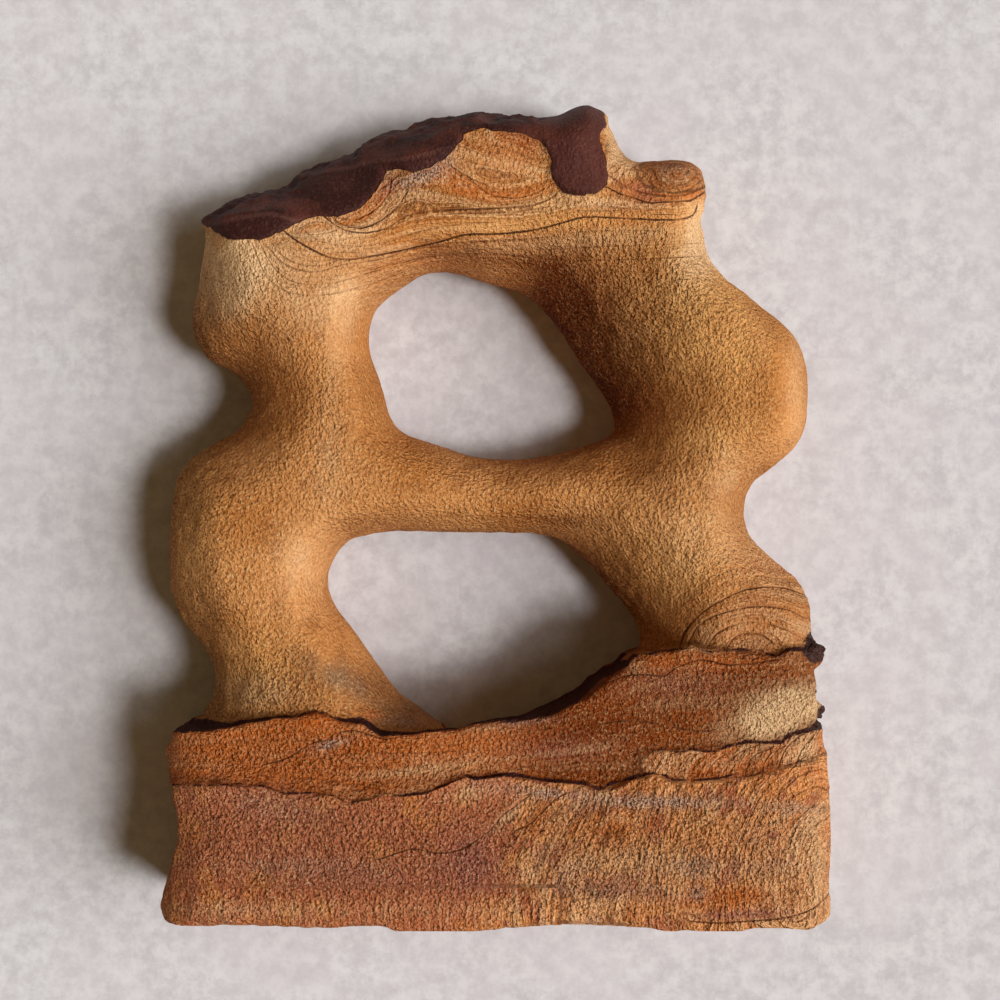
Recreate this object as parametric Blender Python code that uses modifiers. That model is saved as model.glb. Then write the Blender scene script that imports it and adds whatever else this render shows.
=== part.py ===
"""A sandstone arch: one slab of banded stone, worn through by two windows, on a square block of a foot.

It lies on its back. The face looks up (+Z), the crown points to +Y and the sawn foot faces -Y.
Outlines and sizes are in millimetres, and the mesh is in metres.
"""

import math

import bmesh
import bpy
import numpy as np
from mathutils import Matrix, Vector, noise

MM = 0.001

# Driving dimensions
ARCH_DEPTH = 46.0
BAND_BACK, BAND_DEPTH = 0.8, 51.0
WEDGE_BACK, WEDGE_DEPTH = 14.0, 52.6
FOOT_DEPTH = 54.6
FOOT_Y = -108.3
BACK_ROUND = 12.0
BACK_RISE = 1.0
LEDGE_LEAN = 0.12
LEAN_PLACES, LEAN_SHARES = (-58, -28, 2, 14), (0, 1, 1, 0.3)
LUMP_HEIGHT = 0.7
LUMP_SIZE = 24.0
FRONT_POWER, BACK_POWER = 1.55, 2.2
FLAKE_DEPTH = 9.0
ROUGHNESS, ROUGH_GRAIN = 0.16, 3.1
SHARP_ANGLE = 35.0

# Room that a cutter or an untrimmed layer has past the stone
OVERSHOOT = 8.0
CUT_REACH = 150.0
SECTION_REACH = 140.0

# Mesh fineness
OUTLINE_STEP = 2.5
SECTION_STEP = 4.0
ROUGH_VOXEL, ROUGH_WEAR, ROUGH_RELAX = 3.0, 5, 3
FINE_VOXEL, FINE_WEAR, FINE_RELAX = 2.0, 2, 2
NUDGE = 0.2
ARCH_TRIANGLES = 7400
LONGEST_MOVE = 3.0
CHUNK = 2000

# Outline of the worn arch, clockwise from its buried left foot.
# Each row is x, y, the width of the rounding at the front, and the height of the waist.
ARCH_RIM = (
    (-78, -62, 17, 20), (-82, -55, 16, 21), (-79, -49, 17, 22), (-78.8, -42, 18, 22),
    (-81, -36.5, 18, 22), (-86.3, -30, 18, 22), (-90.4, -21.5, 18, 22), (-91.2, -11.5, 18, 22),
    (-90.7, -0.5, 18, 22), (-89, 11, 18, 22), (-84.6, 17, 19, 22), (-78, 21, 20, 22),
    (-71.5, 25, 20, 22), (-68, 31, 20, 22), (-69.2, 35.5, 21, 22), (-73.2, 40.5, 22, 22),
    (-79.8, 44.3, 23, 22), (-84.2, 50, 24, 22), (-84.8, 57.5, 23, 22), (-82.6, 65, 20, 23),
    (-81.2, 73, 16, 25), (-80, 79, 12, 27), (-81.2, 81, 10, 28), (-77.2, 82.2, 12, 28),
    (-74.4, 85.4, 13, 27), (-65, 89.2, 14, 26), (-57, 91.4, 16, 25), (-54, 94.2, 17, 24),
    (-41, 99.2, 17, 24), (-36, 101.5, 17, 24), (-33, 104.7, 17, 24), (-26, 107, 15, 24),
    (-17, 109.8, 12, 24), (-8.5, 111, 9, 24), (1, 110.6, 8, 24), (14, 110, 8, 24),
    (18, 110.6, 9, 24), (22, 112.5, 9, 24), (26, 114, 9, 24), (29.2, 112.4, 8, 24),
    (31.3, 108.6, 7, 25), (33.4, 103.2, 7, 25), (36.4, 98.8, 7, 26), (40, 97.7, 7, 26),
    (48.5, 98.3, 7, 26), (54, 97.3, 7, 26), (56.5, 94.6, 7, 26), (57.9, 90, 6, 26),
    (57.8, 87, 5, 26), (56.2, 84, 6, 25), (57.2, 78.5, 10, 24), (59, 72.3, 12, 23),
    (62.7, 67.5, 12, 22), (73.8, 58.7, 12, 22), (80.5, 53.4, 13, 22), (84.5, 48, 13, 22),
    (86.4, 41, 13, 22), (86.8, 32.8, 13, 22), (86, 25, 13, 22), (82.8, 19, 13, 22),
    (76.5, 13.8, 13, 22), (71, 9.2, 13, 22), (68.8, 3.2, 13, 22), (69.4, -3, 13, 22),
    (73.3, -8.2, 12, 22), (79.4, -13.4, 11, 22), (84.6, -18, 10, 22), (87, -24, 9, 22),
    (87.4, -32, 9, 22), (85, -44, 9, 22), (70, -62, 9, 22), (0, -76, 9, 22), (-60, -74, 12, 20),
)

# The windows, clockwise from the top left, in the same columns.
UPPER_WINDOW = (
    (-25.4, 64.8, 9, 23), (-19.5, 68.3, 10, 22), (-13, 68.7, 11, 21), (-3, 66, 14, 19),
    (8.6, 62.4, 22, 17), (17, 54.2, 28, 16), (24, 43, 32, 15), (31, 33, 32, 15),
    (33.6, 25, 26, 16), (31, 22.7, 19, 17), (24.5, 20, 14, 18), (10, 16.8, 11, 20),
    (-5, 16.9, 10, 21), (-18, 20.8, 10, 22), (-25, 23.2, 10, 22), (-28.4, 25.8, 9, 22),
    (-30.2, 29.5, 9, 23), (-32.6, 38.2, 9, 23), (-35.3, 46, 9, 24), (-35.4, 53, 9, 24),
    (-33, 59, 9, 24),
)
LOWER_WINDOW = (
    (-43.2, -8.2, 9, 24), (-38.5, -5.4, 9, 24), (-28.5, -3.7, 9, 23), (-13, -4.3, 9, 22),
    (3.5, -4.4, 10, 21), (15.5, -5.3, 14, 20), (24.6, -11.5, 21, 17), (33.2, -21.5, 24, 16),
    (38.6, -28.5, 22, 16), (40.4, -36, 18, 17), (37, -50, 12, 20), (20, -62, 9, 20),
    (0, -66, 9, 18), (-13, -59.5, 12, 16), (-20, -55, 15, 15), (-27, -49.8, 15, 16),
    (-31, -44.6, 13, 18), (-40.2, -31, 10, 22), (-45.4, -24, 9, 23), (-47.2, -16, 9, 24),
)

# Where the stone is fuller or more worn. Each row is x, y, reach, rise of the front, rise of the back.
SWELLS = (
    (-68, -4, 22, 2.2, -2.8), (-60, 62, 18, 0.8, -2.2), (66, 36, 20, 2.4, -3.2), (72, -24, 14, 1.6, -1.2),
    (2, 7, 20, -8.5, 8.0), (-4, 88, 24, -1.2, 4.0), (-66, -46, 13, -1.8, 0.5), (-62, 32, 12, -2.0, 2.5),
    (64, 3, 12, -2.0, 2.5), (48, 92, 7, 1.8, 1.5), (21, 100, 8, 1.2, 1.5),
)

# The three layers of the foot block: the plan of each, from the left end of its ledge.
BAND_PLAN = (
    (-88, -56.8), (-77, -56.4), (-70, -55), (-62, -53.5), (-52.6, -52.7), (-48, -51), (-42.5, -53),
    (-35.5, -54.3), (-30.6, -57.2), (-18, -56.3), (-10, -55.4), (-3.5, -53.7), (7, -53), (15.5, -51.6),
    (24.5, -47.2), (27.2, -43.6), (34, -40), (36, -37), (39.5, -35.9), (52.4, -34.2), (61.5, -34.6),
    (73, -36.6), (77, -34.6), (84, -35.2), (85.2, -44), (84.8, -52), (86.6, -60), (86.4, -80),
    (-84, -80), (-87, -72), (-88.4, -66), (-89, -62.4), (-87.4, -59.8), (-86.2, -58.4),
)
WEDGE_PLAN = (
    (38, -62), (45.5, -61), (51, -60.8), (61, -60), (66, -58.8), (74.5, -59.2), (79.2, -56.4),
    (86.4, -54.6), (87.2, -62), (87, -80), (40, -80),
)
FOOT_PLAN = (
    (-86.6, -70.2), (-68.6, -69.6), (-61.5, -70.3), (-55.5, -72.3), (-42.5, -72.8), (-39.7, -74.6),
    (-33.8, -74.2), (-31.8, -73), (-24, -72.8), (-18, -72), (-14.5, -70.4), (-8, -67.8), (1, -67.5),
    (13.5, -69.2), (23, -69.9), (27.3, -71.5), (35.7, -68.4), (41.2, -67), (46.5, -68.7), (60.4, -68.1),
    (66.2, -67.8), (71.7, -66.2), (81, -63.6), (87.6, -61.6), (88.6, -72.5), (88.8, -87), (88.3, -98),
    (89, -101.8), (88.7, -106), (86.2, -112), (-89, -112), (-91.2, -105.6), (-90.4, -102), (-87.4, -92.5),
    (-85.6, -85), (-85.6, -78),
)

# Cross-section of the foot block seen along Y, as x and the share of the layer's depth.
# The last rows, around the back, are those of the block itself and of the layers that lie in it.
BLOCK_FRONT = (
    (-93, 0.44), (-91.5, 0.68), (-86.5, 0.86), (-77, 0.955), (-62, 0.985), (-30, 1.0), (20, 0.99),
    (60, 1.0), (80, 0.985), (86.5, 0.93), (90, 0.78), (90.5, 0.4),
)
BLOCK_BACK = ((89.4, 0.14), (84, 0.0), (74, -0.1), (0, -0.12), (-76, -0.1), (-86, 0.0), (-92, 0.16))
LAYER_BACK = ((90.5, -0.3), (0, -0.3), (-93, -0.3))

# Chips out of the foot block's edges: the centre, the size along X, Y and Z, and the turn about Z
# in degrees.
CHIPS = (
    (-66, -110, 54.6, 66, 7.6, 18, 0.6), (-36, -110, 54.6, 20, 7.8, 16, 2),
    (23, -110.2, 54.6, 54, 9.4, 20, -1.2), (72, -110.2, 54.6, 30, 6.0, 12, 2),
    (88.5, -110.8, 54.6, 20, 11, 26, 28),
    (-93, -109.5, 30, 9, 10, 70, 20), (90.5, -109.5, 20, 7, 7, 60, 0), (-30, -109.5, -1, 80, 7, 8, 1),
    (48, -110, -1, 60, 8, 10, -2), (92, -82, -1, 12, 44, 10, 3), (-93, -88, 0, 11, 30, 12, -4),
)

# Flakes that stand out of the right-hand edge: x, y, z, length, width and turn about Z in degrees.
FLAKES = (
    (84.8, -36.8, 42, 7.0, 8.6, -10), (84.6, -45.6, 38, 4.6, 3.4, 10), (85.2, -50.8, 42, 6.0, 4.2, -25),
)


def clear_scene():
    for thing in list(bpy.data.objects):
        bpy.data.objects.remove(thing, do_unlink=True)


def new_collection(name):
    collection = bpy.data.collections.new(name)
    bpy.context.scene.collection.children.link(collection)
    return collection


def stone_material():
    material = bpy.data.materials.new("sandstone")
    material.use_nodes = True
    shader = material.node_tree.nodes["Principled BSDF"]
    shader.inputs["Base Color"].default_value = (0.47, 0.22, 0.08, 1.0)
    shader.inputs["Roughness"].default_value = 0.92
    shader.inputs["Metallic"].default_value = 0.0
    return material


def smooth_loop(rows, spacing):
    """A closed curve through the rows, which may have any number of columns, as evenly spaced rows."""
    rows = np.array(rows, float)
    before, after = np.roll(rows, 1, axis=0), np.roll(rows, -1, axis=0)
    beyond = np.roll(rows, -2, axis=0)
    found = []
    for a, b, c, d in zip(before, rows, after, beyond):
        count = max(2, math.ceil(math.dist(b[:2], c[:2]) / spacing))
        for t in np.arange(count) / count:
            found.append(
                0.5 * (2 * b + (c - a) * t + (2 * a - 5 * b + 4 * c - d) * t**2
                       + (3 * b - a - 3 * c + d) * t**3)
            )
    return np.array(found)


def new_object(name, mesh, collection):
    piece = bpy.data.objects.new(name, mesh)
    collection.objects.link(piece)
    return piece


def bake(piece):
    """Replaces the piece's mesh with what its modifiers make of it."""
    graph = bpy.context.evaluated_depsgraph_get()
    mesh = bpy.data.meshes.new_from_object(piece.evaluated_get(graph))
    piece.modifiers.clear()
    old, piece.data = piece.data, mesh
    bpy.data.meshes.remove(old)


def prism(name, loops, low, high, collection):
    """The flat outlines in loops, the first with the others as holes, extruded from low to high in Z."""
    curve = bpy.data.curves.new(name + " outline", "CURVE")
    curve.dimensions = "2D"
    curve.fill_mode = "BOTH"
    curve.extrude = (high - low) / 2 * MM
    for loop in loops:
        spline = curve.splines.new("POLY")
        spline.points.add(len(loop) - 1)
        for point, row in zip(spline.points, loop):
            point.co = (row[0] * MM, row[1] * MM, 0.0, 1.0)
        spline.use_cyclic_u = True
    guide = new_object(name + " guide", curve, collection)
    graph = bpy.context.evaluated_depsgraph_get()
    mesh = bpy.data.meshes.new_from_object(guide.evaluated_get(graph))
    bpy.data.objects.remove(guide)
    bpy.data.curves.remove(curve)
    shape = bmesh.new()
    shape.from_mesh(mesh)
    bmesh.ops.remove_doubles(shape, verts=shape.verts, dist=0.00001)
    bmesh.ops.translate(shape, verts=shape.verts, vec=(0, 0, (high + low) / 2 * MM))
    bmesh.ops.recalc_face_normals(shape, faces=shape.faces)
    shape.to_mesh(mesh)
    shape.free()
    return new_object(name, mesh, collection)


def combine(piece, other, operation):
    """A Boolean of two closed pieces, with the other one removed afterwards.

    The exact solver loses whole sides of the arch at some chips, and the manifold one keeps them.
    """
    boolean = piece.modifiers.new(operation.lower(), "BOOLEAN")
    boolean.operation = operation
    boolean.solver = "MANIFOLD"
    boolean.object = other
    bake(piece)
    bpy.data.objects.remove(other)


def rim_reach(xy, rim, is_hole):
    """How deep each point lies in one rim's rounding: 0 clear of it, 1 on the outline and more beyond.

    Returns that for the front and for the back, and the height of the waist at the nearest rim.
    """
    start, step = rim, np.roll(rim, -1, axis=0) - rim
    run, end_y = step[:, :2], (rim + step)[:, 1]
    front, back, waist = (np.empty(len(xy)) for _ in range(3))
    for first in range(0, len(xy), CHUNK):
        here = slice(first, first + CHUNK)
        away = xy[here, None, :] - start[None, :, :2]
        t = np.clip((away * run).sum(2) / (run**2).sum(1), 0, 1)
        gap = np.linalg.norm(away - t[..., None] * run, axis=2)
        share = gap / (start[:, 2] + t * step[:, 2])
        nearest = share.argmin(1)
        row = np.arange(len(nearest))
        x, y = xy[here, 0, None], xy[here, 1, None]
        spans = (start[:, 1] > y) != (end_y > y)
        crossing = start[:, 0] + (y - start[:, 1]) * run[:, 0] / np.where(run[:, 1] == 0, 1e-9, run[:, 1])
        inside = (spans & (x < crossing)).sum(1) % 2 == 1
        sign = np.where(inside != is_hole, 1.0, -1.0)
        front[here] = 1 - sign * share[row, nearest]
        back[here] = 1 - sign * gap.min(1) / BACK_ROUND
        waist[here] = start[nearest, 3] + t[row, nearest] * step[nearest, 3]
    return np.maximum(front, 0), np.maximum(back, 0), waist


def surface_heights(xy):
    """Heights of the worn front and back, away from any rim."""
    front = np.full(len(xy), ARCH_DEPTH)
    back = np.full(len(xy), BACK_RISE)
    for x, y, reach, front_rise, back_rise in SWELLS:
        weight = np.exp(-((xy[:, 0] - x) ** 2 + (xy[:, 1] - y) ** 2) / (2 * reach**2))
        front += front_rise * weight
        back += back_rise * weight
    lumps = np.array([noise.noise(Vector((x, y, 0)) / LUMP_SIZE) for x, y in xy])
    return front + LUMP_HEIGHT * lumps, back - LUMP_HEIGHT * lumps


def worn_excess(points, fields):
    """Below 0 in the stone, 0 on the worn surface and above 0 outside it."""
    front_reach, back_reach, waist, front, back = fields
    rise = points[:, 2] - waist
    height = np.where(rise > 0, rise / (front - waist), -rise / (waist - back))
    reach = np.where(rise > 0, front_reach, back_reach)
    power = np.where(rise > 0, FRONT_POWER, BACK_POWER)
    return (height**power + reach**power) ** (1 / power) - 1


def worn_fields(xy, rims):
    """What worn_excess needs at each point in plan, blended over the rims."""
    reaches = [rim_reach(xy, rim, is_hole) for rim, is_hole in rims]
    front = sum(one[0] ** FRONT_POWER for one in reaches) ** (1 / FRONT_POWER)
    back = sum(one[1] ** BACK_POWER for one in reaches) ** (1 / BACK_POWER)
    weights = [one[0] ** 3 + 1e-6 for one in reaches]
    waist = sum(weight * one[2] for weight, one in zip(weights, reaches)) / sum(weights)
    return (front, back, waist, *surface_heights(xy))


def wear_down(piece, rims, rounds):
    """Moves every vertex onto the worn surface, by Newton steps along the slope of worn_excess."""
    mesh = piece.data
    points = np.empty(len(mesh.vertices) * 3)
    mesh.vertices.foreach_get("co", points)
    points = points.reshape(-1, 3) / MM
    for _ in range(rounds):
        fields = worn_fields(points[:, :2], rims)
        excess = worn_excess(points, fields)
        slope = np.empty_like(points)
        for axis in range(2):
            moved = points.copy()
            moved[:, axis] += NUDGE
            slope[:, axis] = (worn_excess(moved, worn_fields(moved[:, :2], rims)) - excess) / NUDGE
        raised = points + (0, 0, NUDGE)
        slope[:, 2] = (worn_excess(raised, fields) - excess) / NUDGE
        size = np.maximum((slope**2).sum(1), 1e-5)
        move = -slope * (excess / size)[:, None]
        length = np.linalg.norm(move, axis=1)
        points += move * np.minimum(1, LONGEST_MOVE / np.maximum(length, 1e-9))[:, None]
    mesh.vertices.foreach_set("co", (points * MM).ravel())
    mesh.update()


def remesh(piece, voxel):
    modifier = piece.modifiers.new("even mesh", "REMESH")
    modifier.mode = "VOXEL"
    modifier.voxel_size = voxel * MM
    bake(piece)


def relax(piece, rounds):
    modifier = piece.modifiers.new("relax", "SMOOTH")
    modifier.factor = 0.5
    modifier.iterations = rounds
    bake(piece)


def worn_arch(collection):
    """The pillars, the crossbar and the crown, as one rounded solid with two windows."""
    loops = [smooth_loop(rows, OUTLINE_STEP) for rows in (ARCH_RIM, UPPER_WINDOW, LOWER_WINDOW)]
    rims = list(zip(loops, (False, True, True)))
    arch = prism("worn arch", loops, 0.0, ARCH_DEPTH, collection)
    for voxel, wear_rounds, relax_rounds in (
        (ROUGH_VOXEL, ROUGH_WEAR, ROUGH_RELAX),
        (FINE_VOXEL, FINE_WEAR, FINE_RELAX),
    ):
        remesh(arch, voxel)
        wear_down(arch, rims, wear_rounds)
        relax(arch, relax_rounds)
    coarser = arch.modifiers.new("coarser", "DECIMATE")
    coarser.ratio = ARCH_TRIANGLES / (2 * len(arch.data.polygons))
    bake(arch)
    return arch


def foot_layer(name, plan, low, depth, back, collection):
    """One layer of the foot block: its plan, from low to depth, trimmed to a rounded cross-section."""
    layer = prism(name, [np.array(plan)], low, depth + OVERSHOOT, collection)
    for vertex in layer.data.vertices:
        share = np.interp(vertex.co.x / MM, LEAN_PLACES, LEAN_SHARES)
        vertex.co.y += (vertex.co.z - depth * MM) * LEDGE_LEAN * float(share)
    section = [(x, share * depth) for x, share in BLOCK_FRONT + back]
    outline = smooth_loop(section, SECTION_STEP)
    along = prism(name + " section", [outline], 0.0, SECTION_REACH, collection)
    along.data.transform(Matrix.Rotation(math.radians(90), 4, "X"))
    combine(layer, along, "INTERSECT")
    return layer


def lump(name, size, place, turn, collection):
    """A rough flattened ball of the given size, turned about Z and set in place."""
    shape = bmesh.new()
    bmesh.ops.create_icosphere(shape, subdivisions=2, radius=0.5 * MM)
    for vertex in shape.verts:
        vertex.co *= 1 + ROUGHNESS * noise.noise(vertex.co / MM * ROUGH_GRAIN + Vector(place))
    mesh = bpy.data.meshes.new(name)
    shape.to_mesh(mesh)
    shape.free()
    stretched = Matrix.Diagonal((*size, 1.0))
    turned = Matrix.Rotation(math.radians(turn), 4, "Z")
    mesh.transform(Matrix.Translation(Vector(place) * MM) @ turned @ stretched)
    return new_object(name, mesh, collection)


def cutting_box(name, low, high, collection):
    shape = bmesh.new()
    bmesh.ops.create_cube(shape, size=1.0)
    mesh = bpy.data.meshes.new(name)
    shape.to_mesh(mesh)
    shape.free()
    low, high = Vector(low), Vector(high)
    mesh.transform(Matrix.Translation((low + high) / 2 * MM) @ Matrix.Diagonal((*((high - low) * MM), 1.0)))
    return new_object(name, mesh, collection)


def centre_on_floor(mesh):
    """Puts the middle of the plan over the origin. The sawn back is already at height 0."""
    points = np.empty(len(mesh.vertices) * 3)
    mesh.vertices.foreach_get("co", points)
    points = points.reshape(-1, 3)
    middle = (points.min(0) + points.max(0)) / 2
    mesh.transform(Matrix.Translation((-middle[0], -middle[1], 0.0)))
    print("plan middle in mm:", np.round(middle[:2] / MM, 3))


def main():
    clear_scene()
    stones = new_collection("sandstone arch")
    cutters = new_collection("cutters")
    arch = worn_arch(stones)
    for name, plan, low, depth, back in (
        ("upper band", BAND_PLAN, BAND_BACK, BAND_DEPTH, LAYER_BACK),
        ("wedge", WEDGE_PLAN, WEDGE_BACK, WEDGE_DEPTH, LAYER_BACK),
        ("lower band", FOOT_PLAN, -OVERSHOOT, FOOT_DEPTH, BLOCK_BACK),
    ):
        combine(arch, foot_layer(name, plan, low, depth, back, cutters), "UNION")
    for x, y, z, length, width, turn in FLAKES:
        combine(arch, lump("flake", (length, width, FLAKE_DEPTH), (x, y, z), turn, cutters), "UNION")
    for x, y, z, length, height, depth, turn in CHIPS:
        combine(arch, lump("chip", (length, height, depth), (x, y, z), turn, cutters), "DIFFERENCE")
    low, high = (-CUT_REACH,) * 3, (CUT_REACH,) * 3
    combine(arch, cutting_box("back cut", low, (*high[:2], 0.0), cutters), "DIFFERENCE")
    combine(arch, cutting_box("foot cut", low, (CUT_REACH, FOOT_Y, CUT_REACH), cutters), "DIFFERENCE")
    centre_on_floor(arch.data)
    arch.name = arch.data.name = "sandstone_arch"
    arch.data.materials.clear()
    arch.data.materials.append(stone_material())
    arch.data.shade_smooth()
    arch.data.set_sharp_from_angle(angle=math.radians(SHARP_ANGLE))
    bpy.data.collections.remove(cutters)


main()
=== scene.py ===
"""The looks of a sandstone arch, which lies on its back on a pale floor.

The solid of the frame is copied, made fine, and given its crust, ledges, knobs, laminae and grain.
Lines and patches of the stone were read as (across, down) places in a picture of 1000 x 1000
pixels, taken from straight above. seen_at() says where a point of the stone shows in that picture.
"""

import math

import bpy
import numpy as np
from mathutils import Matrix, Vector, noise


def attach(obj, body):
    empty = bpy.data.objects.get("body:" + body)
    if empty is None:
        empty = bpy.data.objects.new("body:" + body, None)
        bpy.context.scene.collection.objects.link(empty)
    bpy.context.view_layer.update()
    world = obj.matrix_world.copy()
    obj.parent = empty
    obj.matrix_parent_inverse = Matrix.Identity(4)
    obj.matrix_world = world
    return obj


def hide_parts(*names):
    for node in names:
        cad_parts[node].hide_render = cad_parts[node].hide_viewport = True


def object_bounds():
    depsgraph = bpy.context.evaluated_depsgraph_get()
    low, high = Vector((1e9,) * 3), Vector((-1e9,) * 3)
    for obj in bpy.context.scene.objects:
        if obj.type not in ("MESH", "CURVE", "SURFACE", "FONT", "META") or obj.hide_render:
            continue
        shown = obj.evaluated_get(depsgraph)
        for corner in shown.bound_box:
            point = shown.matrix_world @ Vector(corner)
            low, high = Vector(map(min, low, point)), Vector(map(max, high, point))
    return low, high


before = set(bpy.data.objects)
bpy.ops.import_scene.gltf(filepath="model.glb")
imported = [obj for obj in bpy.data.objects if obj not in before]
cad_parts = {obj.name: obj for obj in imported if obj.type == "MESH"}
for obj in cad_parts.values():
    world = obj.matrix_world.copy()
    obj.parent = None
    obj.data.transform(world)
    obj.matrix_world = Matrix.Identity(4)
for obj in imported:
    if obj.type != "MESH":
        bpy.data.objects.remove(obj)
cad_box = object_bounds()

NODE = "sandstone_arch"
MM = 0.001

# The view from above, in millimetres, and the size of a pixel at the height of the stone's middle
CAMERA_X, CAMERA_Y, CAMERA_HEIGHT = 2.1, 2.35, 560.0
MIDDLE_HEIGHT, PIXEL = 24.0, 0.2778
PICTURE = 1000
LENS, SENSOR = 69.46, 36.0

# Mesh fineness, in millimetres, rounds and triangles
VOXEL = 1.02
RELAX_ROUNDS, RELAX_SHARE, FOOT_KEEPS = 9, 0.5, 0.86
MOST_TRIANGLES = 196000

# The mesh stays fine above this height, in millimetres, where it faces up by more than this share
SHOWN_HEIGHT, SHOWN_SLOPE = 11.0, -0.5

# Relief: rises, depths and sizes in millimetres, and edges, reaches, gaps and widths in pixels.
# The crust's rim begins where it faces up by less than the second share, and is full below the first.
CRUST_RISE, CRUST_EDGE, CRUST_RIM = 0.9, 1.5, (0.35, 0.8)
CRUST_RIDGE, RIDGE_REACH = 0.8, 15
CRUST_CHIPS, CHIP_SIZES = 1.1, (6.0, 2.5)
CRUST_FACETS, FACET_SIZE = 0.9, 12.0
LIP_RISE, LIP_WIDTH, LIP_LEFT = 1.9, 26.0, (430, 480)
GROOVE_DEPTH, GROOVE_WIDTH = 0.35, 1.8
BANK_SHARE, BANK_GAP, BANK_WIDTH = 0.6, 3.5, 2.5
LAMINA_DEPTH, LAMINA_PACE = 0.11, 1.9
FLAKE_RISE, FLAKE_SINK, FLAKE_SIZE = 1.6, 0.7, 2.4
DIMPLES = ((14.0, 0.35), (6.0, 0.16), (3.2, 0.2))
RIPPLE_SIZE, RIPPLE_DEPTH = 2.2, 0.14
RIPPLE_TURN, RIPPLE_LENGTH = 68.0, 1.8
LEDGE_JAGS, JAG_DEPTH = ((2.4, 0.35), (7.0, 0.5)), 9.0
BOX_MARGIN = 0.05

# Grain of the material: sizes of the noises, depth of the relief and wobble of the lines
GRIT_SIZE, SAND_SIZE, PEBBLE_SIZE = 0.8, 0.5, 1.1
PEBBLE_STRETCH, PEBBLE_TURN = (1.0, 0.75, 1.0), 0.5
STRANDS, LAMINAE = (1.7, 7.0), (2.0, 40.0)
GRAIN_DEPTH = 2.3
LINE_WOBBLE = 2.4

# Light: strength, width in degrees, tilt and turn in degrees, and colour of each source
KEY = (1.5, 13, 30, 70, (1.0, 0.99, 0.98))
BROAD = (2.6, 44, 49, 82, (0.95, 0.98, 1.0))
SKY_STRENGTH = 0.135
SKY_COLOUR = (1.0, 0.70, 0.33, 1)

# How far a line is felt to each side, in pixels, and how far apart lines of one set are
LINE_REACH = 8.0
SET_GAP = 22.0
SET_COUNT = 4

# Below the waist the beds dip across and down and wander, and the crust ends, in pixels a millimetre
WAIST_HEIGHT = 20.0
CRUST_END = 1.2
DIP_ACROSS, DIP_DOWN = 0.9, 0.5
WANDER_SIZE, WANDER_DOWN = 26.0, -1.4

# Lumps in millimetres, and how much each moves an edge, in pixels, or a cloud of colour
EDGE_JAGS = ((1.9, 1.3), (5.0, 1.5))
CLOUDS = ((7.0, 1.0), (2.6, 0.5))

# Where parts of the stone begin and end in the picture, across or down
WEDGE_START, OFF_WEDGE = (626, 660), 6
CROWN_TOP, CROWN_FADE, CROWN_END = (235, 275), (285, 340), 345
CROWN_LEFT = (225, 290)
SHOULDER_ACROSS, SHOULDER_DOWN = (500, 600), (212, 235)
ARCS_ACROSS, ARCS_DOWN = (650, 690), (545, 590)
LENS_RIGHT = (470, 500)
RIGHT_HALF = (470, 560)
FOOT_RIM = (892, 906)
RUST_GAP_LEFT, RUST_GAP_RIGHT, RUST_GAP_TOP = (499, 509), (570, 620), (826, 836)

# The upright beds at the left of the foot's lowest rim: their top and right ends, and how far apart
RIM_TOP, RIM_RIGHT, RIM_BED = 886, 560, 7

# How strongly the laminae show, from 0 to 1
LOW_CROWN, SHOULDER, ARCS, BAND = 0.3, 0.2, 0.9, 0.35
FOOT_LEFT, FOOT_RIGHT, FOOT_LOW = 0.15, 0.75, 0.35
FEWEST_LAMINAE = 0.05

# The change of tone between laminae, how far a tone reaches in pixels, and its share on the foot
TONE_PACE, TONE_REACH, FOOT_TONE = 0.45, 160, 0.45

# How ragged the patches of colour are, and how far below the waist they fade
RAGGED, RAGGED_DARK = 0.45, 0.12
PATCH_DEPTH = (4, 14)

# How rough the stone is where nothing else is said, and the least and most
PLAIN_ROUGH, LEAST_ROUGH, MOST_ROUGH = 0.55, 0.15, 1.5

# The front edges of the foot block's three ledges, from left to right
LEDGE = (
    (150, 733), (176, 732), (203, 732), (215, 730), (230, 727), (245, 723), (260, 721), (280, 718),
    (297, 718), (305, 714), (315, 712), (325, 714), (335, 719), (345, 722), (362, 724), (380, 736),
    (404, 735), (428, 732), (457, 729), (463, 726), (482, 723), (498, 721), (508, 723), (523, 720),
    (546, 717), (560, 712), (575, 703), (589, 692), (600, 680), (615, 673), (628, 666), (633, 658),
    (645, 655), (668, 651), (695, 648.5), (712, 653), (730, 650), (758, 651), (777, 658), (785, 651),
    (803, 651), (840, 650),
)
STEP = (
    (140, 784), (186, 785), (215, 786), (235, 784), (262, 786), (285, 794), (310, 793), (335, 796),
    (345, 803), (355, 803), (368, 801), (375, 797), (404, 796), (428, 793), (441, 787), (455, 782),
    (466, 777), (476, 780), (500, 776), (515, 776), (547, 782), (584, 785), (600, 791), (610, 785),
    (632, 779), (653, 774), (664, 776), (673, 781), (696, 781), (726, 778), (737, 773), (748, 777),
    (769, 771), (804, 761), (823, 755), (840, 752),
)
WEDGE = (
    (625, 781), (643, 756), (655, 751), (670, 751), (680, 754), (691, 750), (712, 753), (728, 747),
    (748, 743), (782, 744), (788, 738), (798, 734), (812, 731), (820, 727), (840, 722),
)

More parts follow.
